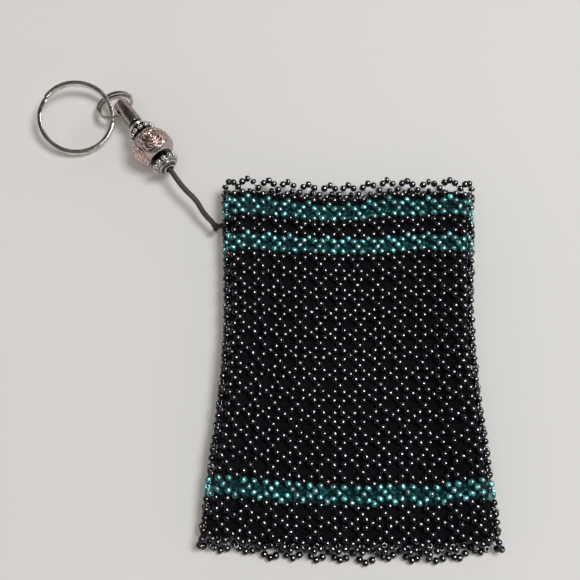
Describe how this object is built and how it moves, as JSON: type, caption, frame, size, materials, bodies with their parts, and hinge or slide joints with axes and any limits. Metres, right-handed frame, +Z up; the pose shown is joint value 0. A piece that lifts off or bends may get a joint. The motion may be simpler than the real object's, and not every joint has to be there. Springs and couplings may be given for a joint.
{
  "type": "coin purse",
  "caption": "Flat netted seed-bead coin purse, open at a picot edge and scalloped at the bottom, hung by a lace from a charm of a rose ball, spacers, tube and split key ring.",
  "frame": {"origin": "middle of the flat underside of the pouch's back, on the table", "axes": "+X to the right across the pouch, +Y towards its open picot edge, +Z up, away from the table"},
  "size_m": [0.146, 0.1526, 0.0128],
  "materials": {
    "black_beads": "gunmetal lustre on opaque glass",
    "teal_beads": "clear teal glass with a silver lining",
    "silver": "silver plate, darkened in its grooves",
    "steel": "bright nickel plate",
    "rose_ball": "silver ball with copper-tinted rose relief",
    "lining": "thin black cloth",
    "leather": "dark grey-brown lace, dull sheen"
  },
  "bodies": {
    "pouch": {"back_picot_edge": "black_beads", "back_teal_band_1": "teal_beads", "back_black_band": "black_beads", "back_teal_band_2": "teal_beads", "back_black_field": "black_beads", "back_teal_band_3": "teal_beads", "back_scalloped_hem": "black_beads", "back_lining": "lining", "left_fold_upper": "black_beads", "left_fold_middle": "black_beads", "left_fold_lower": "black_beads", "right_fold_upper": "black_beads", "right_fold_middle": "black_beads", "right_fold_lower": "black_beads", "bottom_seam": "black_beads"},
    "front": {"front_picot_edge": "black_beads", "front_teal_band_1": "teal_beads", "front_black_band": "black_beads", "front_teal_band_2": "teal_beads", "front_black_field": "black_beads", "front_teal_band_3": "teal_beads", "front_scalloped_hem": "black_beads", "front_lining": "lining"},
    "knot": {"lace_knot": "leather"},
    "charm": {"lace": "leather", "end_tube": "silver"},
    "upper_spacer": {"upper_spacer": "silver"},
    "ball": {"rose_ball": "rose_ball"},
    "lower_spacer": {"lower_spacer": "silver"},
    "small_ring": {"small_ring": "steel"},
    "split_ring": {"split_ring": "steel"}
  },
  "joints": [
    {"name": "mouth_open", "type": "hinge", "parent": "pouch", "child": "front", "pos_m": [0, -0.0532, 0.0096], "axis": [1, 0, 0], "range_deg": [0, 7]},
    {"name": "charm_swing", "type": "hinge", "parent": "pouch", "child": "knot", "pos_m": [-0.0418, 0.0431, 0.0047], "axis": [0, 0, 1], "range_deg": [-25, 100]},
    {"name": "charm_lift", "type": "hinge", "parent": "knot", "child": "charm", "pos_m": [-0.0418, 0.0431, 0.0047], "axis": [0.7854, 0.619, 0], "range_deg": [0, 80]},
    {"name": "upper_spacer_spin", "type": "hinge", "parent": "charm", "child": "upper_spacer", "pos_m": [-0.06771, 0.07637, 0.00605], "axis": [0.5943, -0.8031, 0.0436], "continuous": true},
    {"name": "ball_spin", "type": "hinge", "parent": "charm", "child": "ball", "pos_m": [-0.063, 0.07, 0.0064], "axis": [0.5943, -0.8031, 0.0436], "continuous": true},
    {"name": "lower_spacer_slide", "type": "slide", "parent": "charm", "child": "lower_spacer", "axis": [0.5943, -0.8031, 0.0436], "range_m": [0, 0.004]},
    {"name": "small_ring_tilt", "type": "hinge", "parent": "charm", "child": "small_ring", "pos_m": [-0.07276, 0.0832, 0.00568], "axis": [0.8039, 0.5948, 0], "range_deg": [0, 80]},
    {"name": "split_ring_turn", "type": "hinge", "parent": "small_ring", "child": "split_ring", "pos_m": [-0.0897, 0.0818, 0.004], "axis": [0.1437, -0.1775, 0.9736], "continuous": true}
  ]
}
